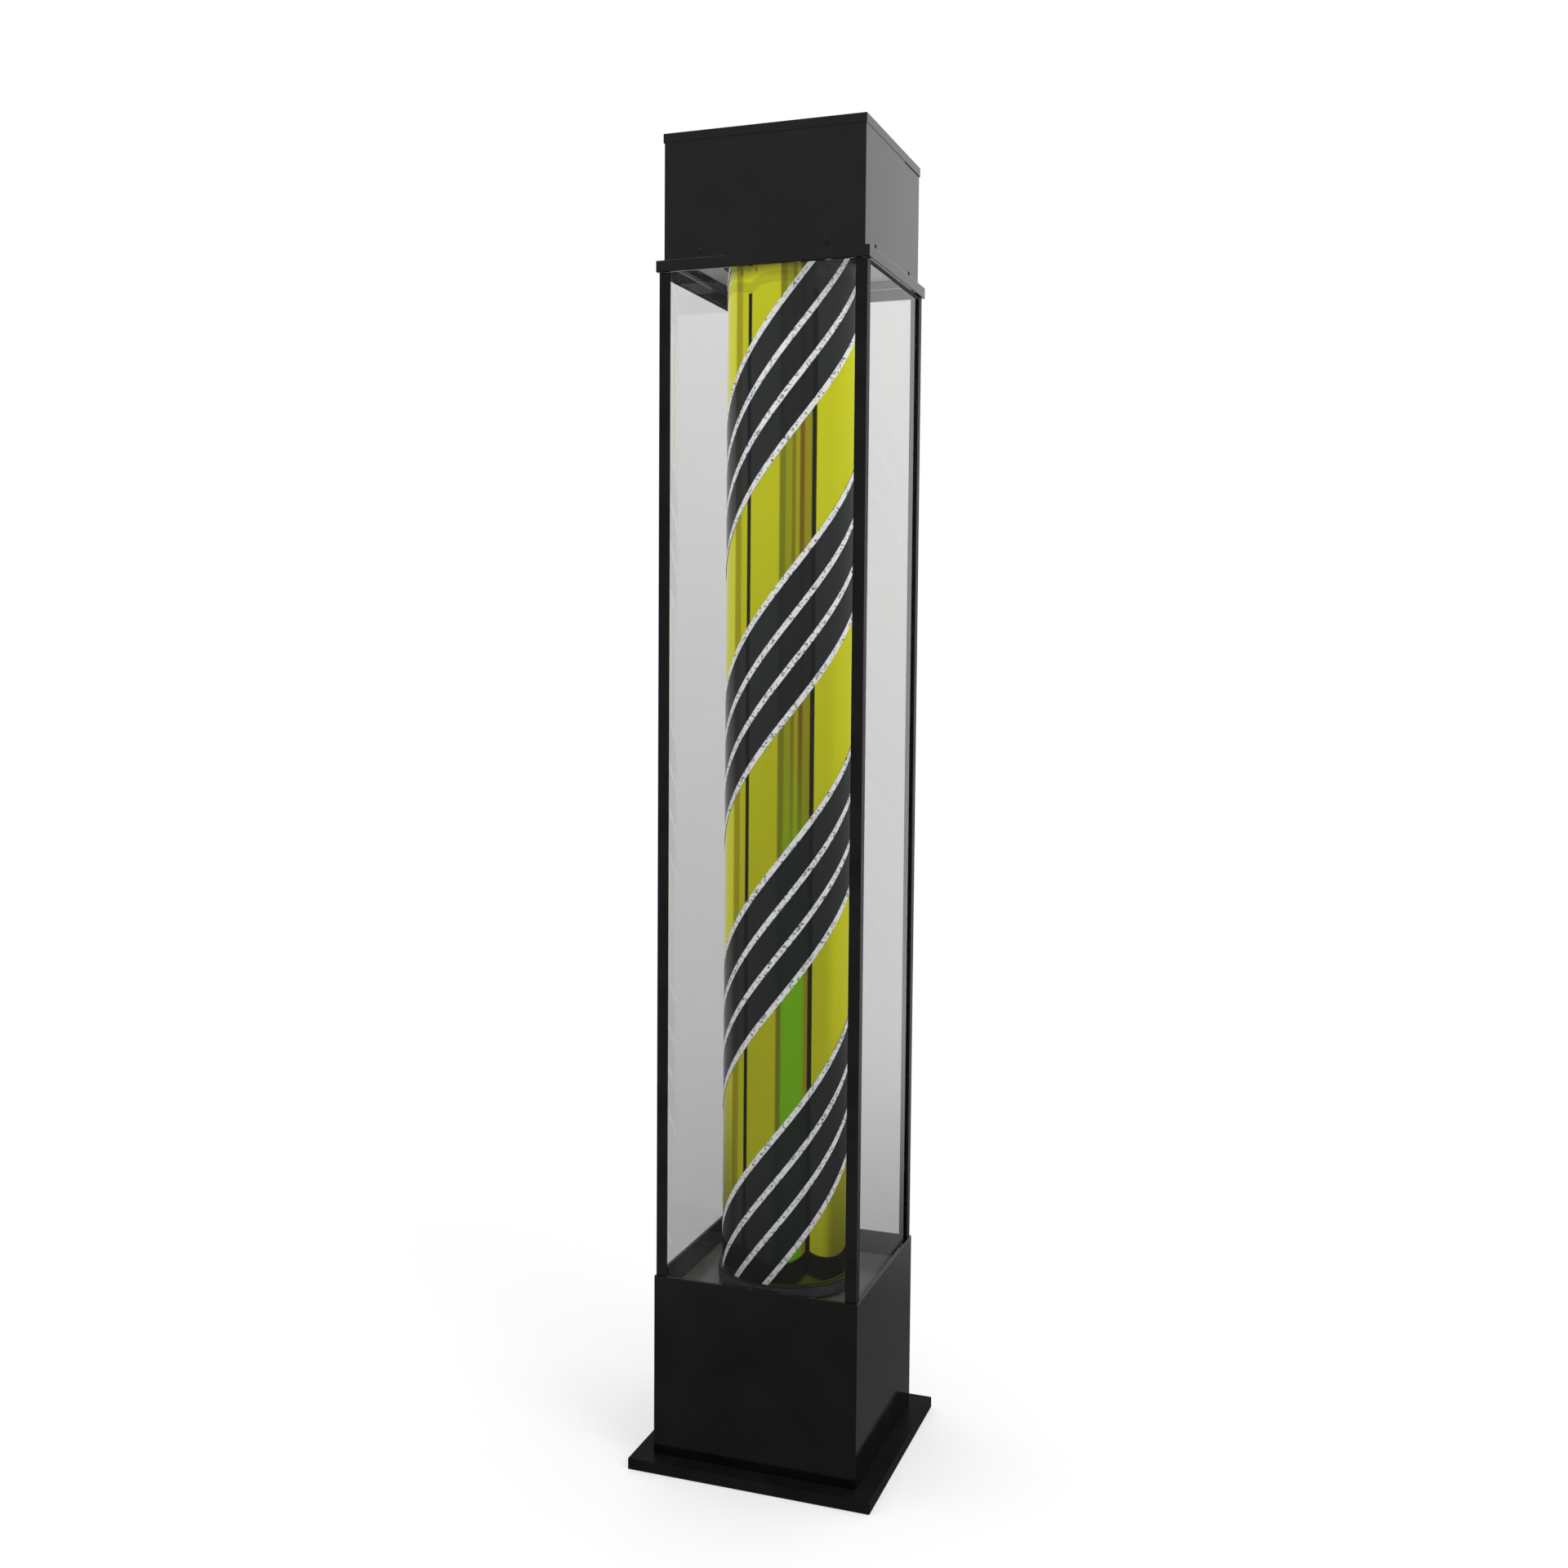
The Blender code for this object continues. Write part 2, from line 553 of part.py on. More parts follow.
def make_inlet(paint):
    add_cup("power_inlet", INLET_X, INLET_FACE, INLET_BODY, INLET_WALL, INLET_DEPTH, paint["plastic"])
    floor = BACK - INLET_DEPTH + INLET_WALL + GAP
    places = (("earth", 0.0, PIN_SPREAD / 3), ("live", -PIN_SPREAD, -PIN_SPREAD / 3),
              ("neutral", PIN_SPREAD, -PIN_SPREAD / 3))
    for name, x, z in places:
        low = (INLET_X + x - PIN_SIZE[0] / 2, floor, PANEL_RISE + z - PIN_SIZE[2] / 2)
        high = (INLET_X + x + PIN_SIZE[0] / 2, floor + PIN_SIZE[1], PANEL_RISE + z + PIN_SIZE[2] / 2)
        add_box("inlet_pin_" + name, low, high, paint["brass"])


def main():
    clear_scene()
    paint = make_materials()
    make_base(paint)
    make_cage(paint)
    make_head(paint)
    make_screws(paint["black"])
    make_drum(paint)
    make_drive(paint)
    make_lamp(paint)
    make_supply(paint)
    make_switch(paint)
    make_inlet(paint)


main()
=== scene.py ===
# %% [markdown]
# # A floor-standing barber pole light
#
# The object is a square column: a gloss black base and head, four slim corner angles, four clear
# acrylic panels, and a drum inside that turns about the upright axis. The engineering model already
# gives every piece its size and place, so this lesson loads it and then works only on the looks.

# %% Load the engineering model
import json
import math

import bpy
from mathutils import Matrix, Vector


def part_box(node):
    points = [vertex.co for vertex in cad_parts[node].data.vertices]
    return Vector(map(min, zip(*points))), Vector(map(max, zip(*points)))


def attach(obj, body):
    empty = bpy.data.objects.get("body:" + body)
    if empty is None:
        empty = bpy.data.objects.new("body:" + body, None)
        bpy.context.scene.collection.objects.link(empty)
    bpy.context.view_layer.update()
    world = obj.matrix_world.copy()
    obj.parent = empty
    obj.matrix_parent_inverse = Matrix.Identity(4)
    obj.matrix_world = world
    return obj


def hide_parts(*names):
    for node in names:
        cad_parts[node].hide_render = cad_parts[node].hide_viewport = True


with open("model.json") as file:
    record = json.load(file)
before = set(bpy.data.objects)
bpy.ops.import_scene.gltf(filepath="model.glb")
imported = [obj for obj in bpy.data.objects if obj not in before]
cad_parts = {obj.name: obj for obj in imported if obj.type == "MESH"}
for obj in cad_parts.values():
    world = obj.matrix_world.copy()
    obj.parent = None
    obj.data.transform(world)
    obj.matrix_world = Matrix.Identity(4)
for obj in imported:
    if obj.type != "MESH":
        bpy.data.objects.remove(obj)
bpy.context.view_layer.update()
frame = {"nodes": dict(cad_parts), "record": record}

nodes = frame["nodes"]

# %% [markdown]
# ## The camera
#
# The object is seen from a little to the right of its front, with the lens at chest height and
# tilted slightly down, so the head is seen from below and the base from above. A camera looks along
# its own -Z, so we build its three axes from a yaw, a pitch and a roll. A small shift moves the
# frame without turning the camera, which keeps the upright edges as they are.

# %% Camera
CAMERA_PLACE = (0.6181, -1.8934, 0.9424)
CAMERA_YAW = math.radians(20.997)
CAMERA_PITCH = math.radians(-3.793)
CAMERA_ROLL = math.radians(0.282)
CAMERA_SHIFT = (0.0512, -0.0177)
LENS_MM = 39.52
SENSOR_MM = 36

camera = bpy.data.objects.new("camera", bpy.data.cameras.new("camera"))
bpy.context.scene.collection.objects.link(camera)
ahead = Vector((-math.sin(CAMERA_YAW) * math.cos(CAMERA_PITCH),
                math.cos(CAMERA_YAW) * math.cos(CAMERA_PITCH), math.sin(CAMERA_PITCH)))
level_right = Vector((math.cos(CAMERA_YAW), math.sin(CAMERA_YAW), 0))
level_up = level_right.cross(ahead)
right = math.cos(CAMERA_ROLL) * level_right + math.sin(CAMERA_ROLL) * level_up
up = math.cos(CAMERA_ROLL) * level_up - math.sin(CAMERA_ROLL) * level_right
turned = camera.matrix_world.to_3x3()
turned.col[0], turned.col[1], turned.col[2] = right, up, -ahead
camera.matrix_world = turned.to_4x4()
camera.location = CAMERA_PLACE
camera.data.sensor_width = SENSOR_MM
camera.data.lens = LENS_MM
camera.data.shift_x, camera.data.shift_y = CAMERA_SHIFT
camera.data.clip_end = 60
bpy.context.scene.camera = camera
print("camera stands", round(math.dist(CAMERA_PLACE, (0, 0, CAMERA_PLACE[2])), 2), "m away")

# %% [markdown]
# ## Helpers for materials
#
# Paint makers give colours as sRGB hex values, but Blender mixes light in linear values, so one
# function turns the first into the second. Another adds a shader node, sets its options and makes
# its links in one line, so that a material reads from top to bottom like a recipe. The rest are the
# steps that most materials share: a noise, a height, a fade between two values, and bumps.

# %% Material helpers
def colour(code):
    """Linear red, green, blue and alpha of an sRGB hex colour."""
    parts = [int(code[i:i + 2], 16) / 255 for i in (1, 3, 5)]
    linear = [p / 12.92 if p <= 0.04045 else ((p + 0.055) / 1.055) ** 2.4 for p in parts]
    return (*linear, 1.0)


def add(tree, kind, inputs=None, **settings):
    """Add a node; inputs maps a socket's name or number to a value or to another node's output."""
    node = tree.nodes.new(kind)
    for key, value in settings.items():
        setattr(node, key, value)
    for key, value in (inputs or {}).items():
        if isinstance(value, bpy.types.NodeSocket):
            tree.links.new(value, node.inputs[key])
        else:
            node.inputs[key].default_value = value
    return node


def new_material(name):
    """An empty material, and its Principled shader."""
    material = bpy.data.materials.new(name)
    material.use_nodes = True
    tree = material.node_tree
    return material, tree, tree.nodes["Principled BSDF"]


def set_values(shader, **values):
    """Set plain values on a shader, each named as its socket with _ for a space."""
    for key, value in values.items():
        shader.inputs[key.replace("_", " ")].default_value = value


def object_noise(tree, size_mm, detail=2.0, stretch=(1, 1, 1)):
    """Noise whose blotches are about size_mm across, fixed to the piece."""
    place = add(tree, "ShaderNodeTexCoord").outputs["Object"]
    if stretch != (1, 1, 1):
        place = add(tree, "ShaderNodeMapping", {"Vector": place, "Scale": stretch}).outputs[0]
    return add(tree, "ShaderNodeTexNoise",
               {"Vector": place, "Scale": 1000 / size_mm, "Detail": detail}).outputs[0]


def object_axis(tree, axis):
    """A point's own X, Y or Z in metres, fixed to the piece."""
    place = add(tree, "ShaderNodeTexCoord").outputs["Object"]
    return add(tree, "ShaderNodeSeparateXYZ", {"Vector": place}).outputs[axis]


def maths(tree, operation, first, second):
    return add(tree, "ShaderNodeMath", {0: first, 1: second}, operation=operation).outputs[0]


def spread(tree, source, low, high, start=0.3, end=0.7):
    """Map a value between start and end to values between low and high."""
    return add(tree, "ShaderNodeMapRange", {"Value": source, "From Min": start, "From Max": end,
                                            "To Min": low, "To Max": high}).outputs[0]


def mix_colours(tree, part, first, second):
    """Fade from the first colour to the second as part goes from 0 to 1."""
    return add(tree, "ShaderNodeMix", {"Factor": part, "A": first, "B": second},
               data_type="RGBA").outputs["Result"]


def two_tone(tree, source, dark, light, start=0.3, end=0.7):
    """Fade between two hex colours as a noise goes from start to end."""
    return mix_colours(tree, spread(tree, source, 0, 1, start, end), colour(dark), colour(light))


def dimmed(tree, shade, share):
    """A colour made darker by a share of 0 to 1."""
    return add(tree, "ShaderNodeVectorMath", {0: shade, "Scale": share}, operation="SCALE").outputs[0]


def bumps(tree, shader, source, depth_mm):
    """Turn a height pattern into bumps depth_mm deep."""
    bump = add(tree, "ShaderNodeBump", {"Height": source, "Distance": depth_mm / 1000})
    tree.links.new(bump.outputs[0], shader.inputs["Normal"])


print("colour of mid grey:", [round(c, 3) for c in colour("#808080")])

# %% [markdown]
# ## Gloss black powder coat
#
# The base, the collar and the head are folded steel, powder coated in gloss black. Baked powder
# flows into a smooth skin with a faint orange peel of waves a few millimetres long, and it picks up
# a little haze, so the shine isn't the same all over. The waves are so shallow that they only soften
# the edges of what the coat reflects. The coat's shine is set below that of clear gloss paint,
# because straight on it looks nearly black and mirrors only at a slant.

# %% Gloss black powder coat
def gloss_black_powder_coat(name):
    material, tree, shader = new_material(name)
    set_values(shader, IOR=1.5, Specular_IOR_Level=0.25)
    haze = object_noise(tree, 60, 4)
    tree.links.new(two_tone(tree, haze, "#070708", "#0d0d0e"), shader.inputs["Base Color"])
    tree.links.new(spread(tree, haze, 0.07, 0.13), shader.inputs["Roughness"])
    bumps(tree, shader, object_noise(tree, 3.0, 1), 0.004)
    return material


BLACK = gloss_black_powder_coat("gloss_black_powder_coat")
print("made", BLACK.name)

# %% [markdown]
# ## Satin black powder coat
#
# The corner angles and the plate under the base are duller than the folded boxes. A satin powder has
# a matting agent in it, so it is a shade greyer, scatters what little it mirrors, and has a finer
# grain. The plate's coat is a little deeper than the one on the angles.

# %% Satin black powder coat
def satin_black_powder_coat(name, dark, light, shine):
    material, tree, shader = new_material(name)
    set_values(shader, IOR=1.5, Specular_IOR_Level=shine)
    haze = object_noise(tree, 40, 4)
    tree.links.new(two_tone(tree, haze, dark, light), shader.inputs["Base Color"])
    tree.links.new(spread(tree, haze, 0.24, 0.34), shader.inputs["Roughness"])
    bumps(tree, shader, object_noise(tree, 1.5, 1), 0.006)
    return material


SATIN_BLACK = satin_black_powder_coat("satin_black_powder_coat", "#141415", "#1b1b1c", 0.03)
PLATE_BLACK = satin_black_powder_coat("deep_black_powder_coat", "#111112", "#171718", 0.01)
print("made", SATIN_BLACK.name, "and", PLATE_BLACK.name)

# %% [markdown]
# ## A head that mirrors look through
#
# The drum is a mirror and the head hangs over its top, so the film would show a dark cap there. The
# film should stay clear and bright right up to the collar, so we cheat: a ray that has been mirrored
# passes the front of the head, the collar and the ceiling, slightly dimmed, while everything else
# sees them whole. It is a trick of the light and not of the paint. What lies further back stays
# closed, because the side panels mirror it as a dark band.

# %% Open to mirrors
OPEN_DEPTH = 0.05
OPEN_SHARE = 0.9


def open_to_mirrors(material):
    """Let mirrored rays pass what is further forward than OPEN_DEPTH behind the middle."""
    tree = material.node_tree
    front = maths(tree, "LESS_THAN", object_axis(tree, "Y"), OPEN_DEPTH)
    ray = add(tree, "ShaderNodeLightPath").outputs["Is Glossy Ray"]
    part = maths(tree, "MULTIPLY", front, ray)
    through = add(tree, "ShaderNodeBsdfTransparent", {"Color": (OPEN_SHARE, OPEN_SHARE, OPEN_SHARE, 1)})
    coat = tree.nodes["Principled BSDF"].outputs[0]
    mixed = add(tree, "ShaderNodeMixShader", {0: part, 1: coat, 2: through.outputs[0]}).outputs[0]
    tree.links.new(mixed, tree.nodes["Material Output"].inputs["Surface"])
    return material


HEAD_BLACK = open_to_mirrors(gloss_black_powder_coat("head_gloss_black_powder_coat"))
print("made", HEAD_BLACK.name)

# %% [markdown]
# ## Satin greys inside the case
#
# The deck under the drum and the ceiling above it are sheet steel in a satin finish. A satin coat
# scatters a reflection into a soft glow. A slow change of tone and a fine grain keep the flat sheets
# from looking like cut paper.

# %% Satin coated sheet
def satin_sheet(name, dark, light, rough):
    material, tree, shader = new_material(name)
    set_values(shader, IOR=1.5, Specular_IOR_Level=0.5)
    cloud = object_noise(tree, 45, 5)
    tree.links.new(two_tone(tree, cloud, dark, light), shader.inputs["Base Color"])
    tree.links.new(spread(tree, cloud, rough - 0.04, rough + 0.04), shader.inputs["Roughness"])
    bumps(tree, shader, object_noise(tree, 1.2, 1), 0.006)
    return material


DECK = satin_sheet("satin_charcoal_sheet", "#7c7c7d", "#88888a", 0.24)
CEILING = open_to_mirrors(satin_sheet("satin_pale_grey_sheet", "#c6c6c6", "#d0d0d0", 0.40))
print("made", DECK.name, "and", CEILING.name)

# %% [markdown]
# ## Clear acrylic panels
#
# A clear sheet bends light so little that it can be drawn as see-through plus a mirror. How much it
# mirrors follows Fresnel's law: little straight on, a lot at a slant. The face that a ray enters by
# does all the mirroring, and the one it leaves by lets everything pass. The index is set below the
# 1.49 of acrylic, which keeps the shine faint. The sheet is slightly smoked, and what shows through
# it is painted darker towards the floor, a painted shade for the dimmer surround low down.

# %% Clear acrylic
PANEL_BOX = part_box("panel_front")
CLEAR_AT_FOOT = 0.787
CLEAR_AT_TOP = 0.908
MIRROR_INDEX = 1.35


def clear_acrylic():
    material, tree, shader = new_material("clear_acrylic_sheet")
    tree.nodes.remove(shader)
    low, high = PANEL_BOX[0].z, PANEL_BOX[1].z
    # painted shade: the sheet lets less through towards the floor, for the dimmer surround low down
    smoke_and_shade = spread(tree, object_axis(tree, "Z"), CLEAR_AT_FOOT, CLEAR_AT_TOP, low, high)
    tint = add(tree, "ShaderNodeCombineColor", {"Red": smoke_and_shade, "Green": smoke_and_shade, "Blue": smoke_and_shade}).outputs[0]
    clear = add(tree, "ShaderNodeBsdfTransparent", {"Color": tint}).outputs[0]
    gloss = add(tree, "ShaderNodeBsdfGlossy", {"Color": (1, 1, 1, 1), "Roughness": 0.0}).outputs[0]
    mirror = add(tree, "ShaderNodeFresnel", {"IOR": MIRROR_INDEX}).outputs[0]
    leaving = add(tree, "ShaderNodeNewGeometry").outputs["Backfacing"]
    amount = maths(tree, "MULTIPLY", mirror, maths(tree, "SUBTRACT", 1.0, leaving))
    mixed = add(tree, "ShaderNodeMixShader", {0: amount, 1: clear, 2: gloss}).outputs[0]
    tree.links.new(mixed, tree.nodes["Material Output"].inputs["Surface"])
    return material


ACRYLIC = clear_acrylic()
print("made", ACRYLIC.name, "for panels", round(PANEL_BOX[1].z - PANEL_BOX[0].z, 3), "m tall")

# %% [markdown]
# ## The drum's mirror film
#
# The drum is wrapped in a metallised polyester film, dyed yellow-green. A metallised film is a real
# mirror, so it is a metal here, with its colour as the tint of what it reflects. Wrapped by hand, it
# has long shallow waves along the drum, which pull reflections into upright streaks. Above the
# collar's lower edge its colour is painted darker, a painted shade for the head's shadow there.

# %% Mirror film
COLLAR_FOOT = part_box("collar")[0].z
SHADE_FROM = COLLAR_FOOT - 0.004
SHADE_TO = COLLAR_FOOT + 0.010


def metallised_film():
    material, tree, shader = new_material("metallised_polyester_film")
    set_values(shader, Metallic=1.0, Roughness=0.05)
    wave = object_noise(tree, 40, 2, (1, 1, 0.12))
    tint = two_tone(tree, wave, "#f8fc18", "#feff20")
    # painted shade: the film's colour darkens above the collar's lower edge, for the head's shadow
    shade = spread(tree, object_axis(tree, "Z"), 1.0, 0.3, SHADE_FROM, SHADE_TO)
    tree.links.new(dimmed(tree, tint, shade), shader.inputs["Base Color"])
    bumps(tree, shader, wave, 0.03)
    return material


FILM = metallised_film()
print("made", FILM.name)

# %% [markdown]
# ## Black vinyl and silver glitter tape
#
# The band is cut from gloss vinyl: a dielectric, so it keeps the usual shine of plastic. The silver
# lines are glitter tape. Each flake lies at its own angle, so a Voronoi pattern gives each cell its own
# tilt, and a painted brightness in its colour, a painted glint for that angle. Real flakes are 0.2 mm,
# too fine to show, so they are drawn 2.2 mm across. A faint painted glow, light that the tape gives
# off though it is no lamp, stands for the sparkle of the flakes in between.

# %% Vinyl and glitter
FLAKE_MM = 2.2
DARK_FLAKES = 0.35


def gloss_vinyl():
    material, tree, shader = new_material("gloss_black_vinyl")
    set_values(shader, IOR=1.5, Specular_IOR_Level=0.36, Roughness=0.05)
    grime = object_noise(tree, 50, 3)
    tree.links.new(two_tone(tree, grime, "#060c0d", "#0d1415"), shader.inputs["Base Color"])
    bumps(tree, shader, object_noise(tree, 30, 2, (1, 1, 0.2)), 0.03)
    return material


def glitter_tape():
    material, tree, shader = new_material("silver_glitter_tape")
    place = add(tree, "ShaderNodeTexCoord").outputs["Object"]
    flakes = add(tree, "ShaderNodeTexVoronoi", {"Vector": place, "Scale": 1000 / FLAKE_MM})
    parts = add(tree, "ShaderNodeSeparateColor", {"Color": flakes.outputs["Color"]})
    # painted glint: each flake's brightness in the colour stands for how its tilt catches the light
    shade = two_tone(tree, parts.outputs["Red"], "#262a29", "#ffffff", 0.0, DARK_FLAKES)
    tree.links.new(shade, shader.inputs["Base Color"])
    tree.links.new(spread(tree, parts.outputs["Green"], 0.25, 0.55, 0, 1), shader.inputs["Roughness"])
    # painted glow: the tape gives off a faint light of its own, though it is no lamp
    set_values(shader, Emission_Color=(0.93, 1.0, 0.98, 1.0), Emission_Strength=0.13)
    bumps(tree, shader, parts.outputs["Blue"], 0.12)
    return material


VINYL = gloss_vinyl()
GLITTER = glitter_tape()
print("made", VINYL.name, "and", GLITTER.name)

# %% [markdown]
# ## Everyday materials for the small parts
#
# Moulded ABS has a fine spark grain from its tool, the matt black of the painted shadow strip is the
# same with a coarser grain and almost no shine, zinc plate is a cool metal with fine lines, and the
# lamp core is extruded aluminium. One function makes all the plastics and one all the bare metals,
# since they differ only in tone and shine.

# %% Plastics and metals
def moulded_plastic(name, dark, light, rough, grain_mm=0.5):
    material, tree, shader = new_material(name)
    set_values(shader, IOR=1.5)
    cloud = object_noise(tree, 12, 3)
    tree.links.new(two_tone(tree, cloud, dark, light), shader.inputs["Base Color"])
    tree.links.new(spread(tree, cloud, rough - 0.05, rough + 0.05), shader.inputs["Roughness"])
    bumps(tree, shader, object_noise(tree, grain_mm, 1), 0.015)
    return material


def bare_metal(name, dark, light, rough):
    material, tree, shader = new_material(name)
    set_values(shader, Metallic=1.0)
    lines = object_noise(tree, 0.6, 2, (1, 1, 0.03))
    tree.links.new(two_tone(tree, lines, dark, light), shader.inputs["Base Color"])
    tree.links.new(spread(tree, lines, rough - 0.06, rough + 0.06), shader.inputs["Roughness"])
    bumps(tree, shader, lines, 0.004)
    return material


BLACK_ABS = moulded_plastic("moulded_black_abs", "#121212", "#1a1a1a", 0.42)
SHADOW_STRIP_BLACK = moulded_plastic("matt_black_painted_shadow", "#0a0a0a", "#101010", 0.75, 1.0)
WHITE_ABS = moulded_plastic("moulded_white_abs", "#d4d4cf", "#e2e2de", 0.45)
GREY_ABS = moulded_plastic("moulded_grey_abs", "#4a4b4b", "#565757", 0.45)
LED_BOARD = moulded_plastic("silicone_coated_led_strip", "#e6e3d4", "#f2f0e4", 0.35)
ZINC = bare_metal("zinc_plated_steel", "#b4b7ba", "#c6c9cc", 0.32)
CAN_STEEL = bare_metal("drawn_steel_can", "#8d8e90", "#a0a1a3", 0.36)
ALUMINIUM = bare_metal("extruded_aluminium", "#cfd1d3", "#dcdee0", 0.28)
NICKEL = bare_metal("nickel_plated_brass", "#c9bfa0", "#d8cfb2", 0.22)
print("made 9 materials for the small parts")

# %% [markdown]
# ## Dressing the engineering pieces
#
# Most engineering pieces already have the right shape, so they stay and take a finish. Nothing cut
# from sheet has a knife edge, and a tiny rounding catches a line of light along every corner. The
# pieces arrive as loose triangles, so a Weld modifier joins their corners first and a Bevel rounds
# the sharp edges after it.

# %% Finish and soften the engineering pieces
FINISH = {
    "black": BLACK, "satin": SATIN_BLACK, "deck": DECK, "ceiling": CEILING, "clear": ACRYLIC,
    "tube": ACRYLIC, "film": FILM, "band": VINYL, "hub": GREY_ABS, "zinc": ZINC, "motor": CAN_STEEL,
    "core": ALUMINIUM, "led": LED_BOARD, "white": WHITE_ABS, "plastic": BLACK_ABS, "brass": NICKEL,
}
OWN_FINISH = {"base_plate": PLATE_BLACK, "collar": HEAD_BLACK, "top_housing": HEAD_BLACK,
              "top_lid": HEAD_BLACK}
EDGE_MM = {"base_plate": 0.8, "base_housing": 0.7, "collar": 0.7, "top_housing": 0.7, "top_lid": 0.4,
           "post": 0.6, "panel": 0.3, "deck_plate": 0.4, "ceiling_plate": 0.4, "led_driver": 1.5,
           "terminal_block": 0.8, "inlet_pin": 0.5, "motor_bracket": 0.6, "lamp_bracket": 0.6,
           "switch_bezel": 0.5, "power_inlet": 0.5}
SAME_CORNER = 0.00001
SHARP_EDGE = math.radians(40)


def soften(piece, width_mm):
    """Weld the triangles and round the sharp edges by width_mm."""
    weld = piece.modifiers.new("join_corners", "WELD")
    weld.merge_threshold = SAME_CORNER
    bevel = piece.modifiers.new("round_edges", "BEVEL")
    bevel.width = width_mm / 1000
    bevel.segments = 2
    bevel.limit_method = "ANGLE"
    bevel.angle_limit = SHARP_EDGE


for part in frame["record"]["subparts"]:
    piece = nodes[part["node"]]
    piece.data.materials.clear()
    piece.data.materials.append(OWN_FINISH.get(part["node"], FINISH[part["material_slot"]]))
    for start, width_mm in EDGE_MM.items():
        if part["node"].startswith(start):
            soften(piece, width_mm)

# %% [markdown]
# ## Helpers for modelling by hand
#
# Operators act on whatever is selected, so each new piece starts with everything deselected. A
# finished piece gets its place baked into its mesh, is shaded, takes its material, and rides on the
# body that carries it.

# %% Modelling helpers
def start_clean():
    if bpy.context.object and bpy.context.object.mode != "OBJECT":
        bpy.ops.object.mode_set(mode="OBJECT")
    bpy.ops.object.select_all(action="DESELECT")


def apply_modifiers(piece):
    for modifier in list(piece.modifiers):
        bpy.ops.object.modifier_apply(modifier=modifier.name)


def finished(piece, name, body, material, smooth=30):
    """Bake the place, shade, dress and attach a piece."""
    start_clean()
    piece.select_set(True)
    bpy.context.view_layer.objects.active = piece
    bpy.ops.object.transform_apply(location=True, rotation=True, scale=True)
    bpy.ops.object.shade_smooth_by_angle(angle=math.radians(smooth))
    piece.name = name
    piece.data.name = name
    piece.data.materials.clear()
    piece.data.materials.append(material)
    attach(piece, body)
    return piece


def select_faces(piece, test):
    """In edit mode, select just the faces whose centre and normal pass a test."""
    bpy.ops.mesh.select_all(action="DESELECT")
    bpy.ops.object.mode_set(mode="OBJECT")
    for face in piece.data.polygons:
        face.select = test(face.center, face.normal)
    bpy.ops.object.mode_set(mode="EDIT")


print("helpers ready")

# %% [markdown]
# ## The film sleeve
#
# The engineering film has 48 flat sides, which a mirror would show at once, so a smooth sleeve of
# 160 sides stands in for it. It starts as an open tube and gets its wall from a Solidify modifier.

# %% Film sleeve
SLEEVE_SIDES = 160
SLEEVE_WALL = 0.0008
film_low, film_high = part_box("film_wrap")
FILM_RADIUS = film_high.x
DRUM_FOOT, DRUM_TOP = film_low.z, film_high.z

start_clean()
bpy.ops.mesh.primitive_cylinder_add(vertices=SLEEVE_SIDES, radius=FILM_RADIUS,
                                    depth=DRUM_TOP - DRUM_FOOT, end_fill_type="NOTHING",
                                    location=(0, 0, (DRUM_TOP + DRUM_FOOT) / 2))
sleeve = bpy.context.object
wall = sleeve.modifiers.new("wall", "SOLIDIFY")
wall.thickness = SLEEVE_WALL
wall.offset = -1
apply_modifiers(sleeve)
finished(sleeve, "film_sleeve", "drum", FILM)
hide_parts("film_wrap")
print("sleeve radius", round(FILM_RADIUS * 1000, 1), "mm")

# %% [markdown]
# ## The wound bands
#
# Two dark bands wind up the drum half a turn apart, each with four silver lines: one along each
# edge and two between. Every strip is the same job: draw its thin cross-section as a rectangle
# standing beside the axis, and let a Screw modifier sweep it round and up by one lead a turn. The
# sweep starts below the drum and ends above it, and two bisect cuts then trim it to the drum's ends
# and close them.

# %% Bands and silver lines
HELIX_LEAD = 0.6214
BANDS = 2
BAND_FOOT = 0.0536
BAND_RISE = 0.1678
LINES = 4
LINE_RISE = 0.0100
LINE_STEP = (BAND_RISE - LINE_RISE) / (LINES - 1)
VINYL_THICK = 0.00025
TAPE_THICK = 0.00020
HAIRLINE = 0.0001
VINYL_RADIUS = FILM_RADIUS + HAIRLINE
TAPE_RADIUS = VINYL_RADIUS + VINYL_THICK
TURNS = 4


def wound_strip(name, inner, thick, foot, rise, material):
    """A strip wound round the drum, whose lower edge is at height foot on the +X side."""
    start_clean()
    low = foot - HELIX_LEAD
    bpy.ops.mesh.primitive_plane_add(size=1, location=(0, 0, 0))
    strip = bpy.context.object
    bpy.ops.object.mode_set(mode="EDIT")
    bpy.ops.transform.resize(value=(thick, rise, 1))
    bpy.ops.transform.rotate(value=-math.pi / 2, orient_axis="X", center_override=(0, 0, 0))
    bpy.ops.transform.translate(value=(inner + thick / 2, 0, low + rise / 2))
    bpy.ops.mesh.delete(type="ONLY_FACE")
    bpy.ops.object.mode_set(mode="OBJECT")
    sweep = strip.modifiers.new("wind", "SCREW")
    sweep.angle = 2 * math.pi
    sweep.screw_offset = HELIX_LEAD
    sweep.iterations = TURNS
    sweep.steps = SLEEVE_SIDES
    sweep.render_steps = SLEEVE_SIDES
    apply_modifiers(strip)
    bpy.ops.object.mode_set(mode="EDIT")
    for level, outer in ((DRUM_FOOT, False), (DRUM_TOP, True)):
        bpy.ops.mesh.select_all(action="SELECT")
        bpy.ops.mesh.bisect(plane_co=(0, 0, level), plane_no=(0, 0, 1), use_fill=True,
                            clear_inner=not outer, clear_outer=outer)
    bpy.ops.mesh.select_all(action="SELECT")
    bpy.ops.mesh.remove_doubles(threshold=0.000001)
    bpy.ops.mesh.normals_make_consistent(inside=False)
    bpy.ops.object.mode_set(mode="OBJECT")
    return finished(strip, name, "drum", material)


